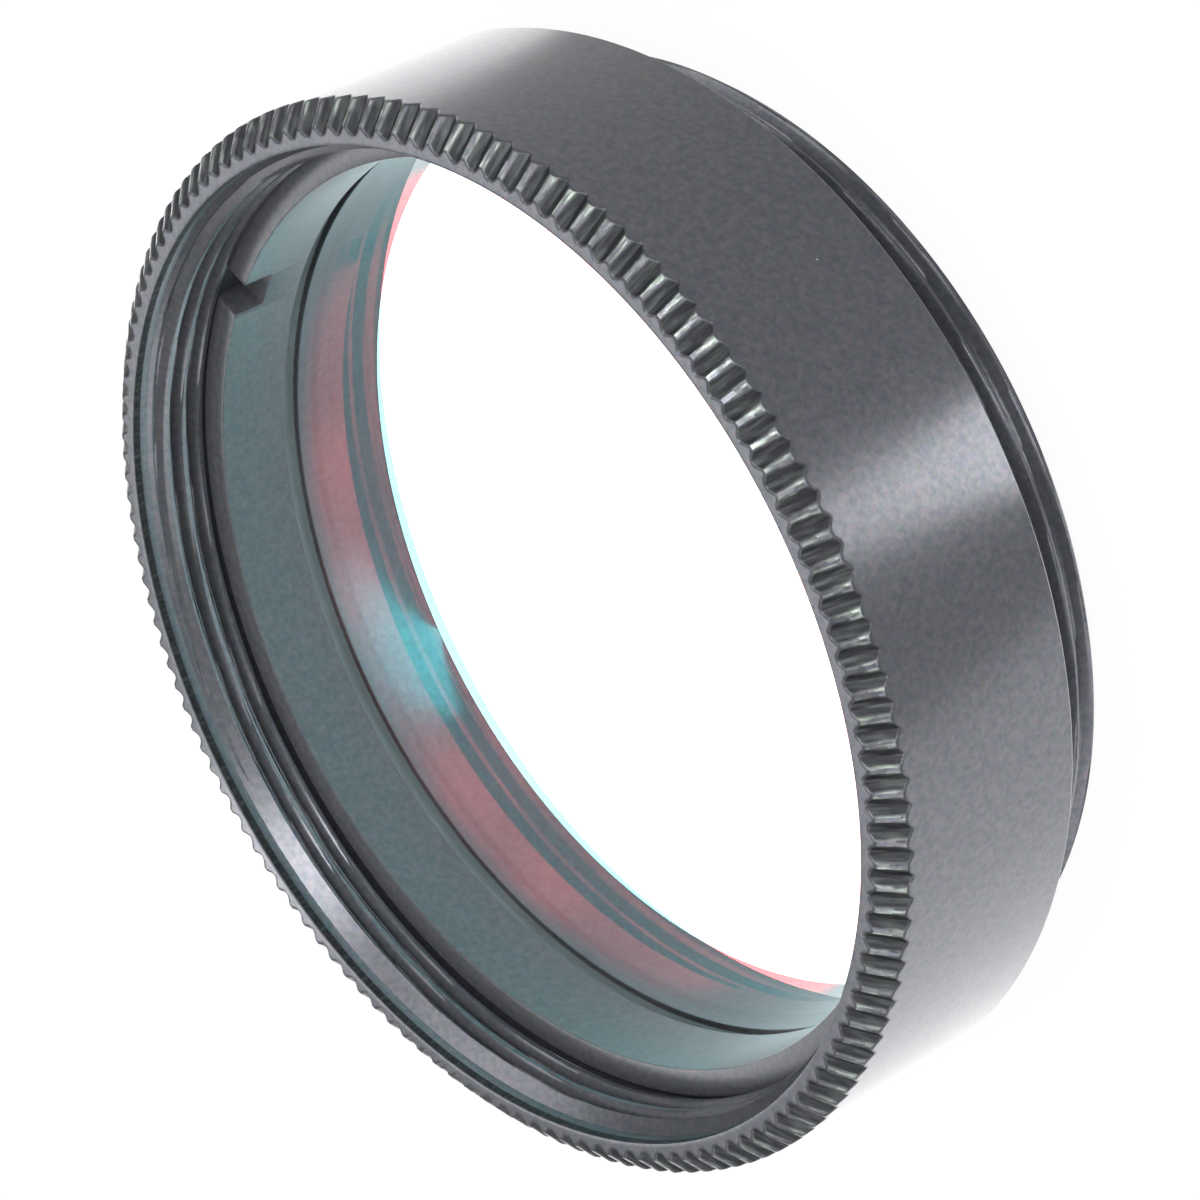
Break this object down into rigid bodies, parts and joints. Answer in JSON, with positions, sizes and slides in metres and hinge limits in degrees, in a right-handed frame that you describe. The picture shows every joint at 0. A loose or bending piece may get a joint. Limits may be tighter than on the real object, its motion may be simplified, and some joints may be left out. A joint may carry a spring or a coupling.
{
  "type": "blocking filter",
  "caption": "Short black threaded cell with a knurled front bevel, holding a coated round glass filter under a slotted screw-in retaining ring.",
  "frame": {"origin": "centre of the rear end of the male-threaded spigot", "axes": "+Z along the optical axis, from the rear spigot towards the knurled front; +X through one spanner slot of the retaining ring"},
  "size_m": [0.031, 0.031, 0.0093],
  "materials": {
    "cell_anodised": "black anodised, fine satin",
    "coated_glass": "polished, interference coated",
    "ring_anodised": "black anodised, satin"
  },
  "bodies": {
    "root": {"filter_cell": "cell_anodised", "filter_glass": "coated_glass", "retaining_ring": "ring_anodised"}
  },
  "joints": []
}
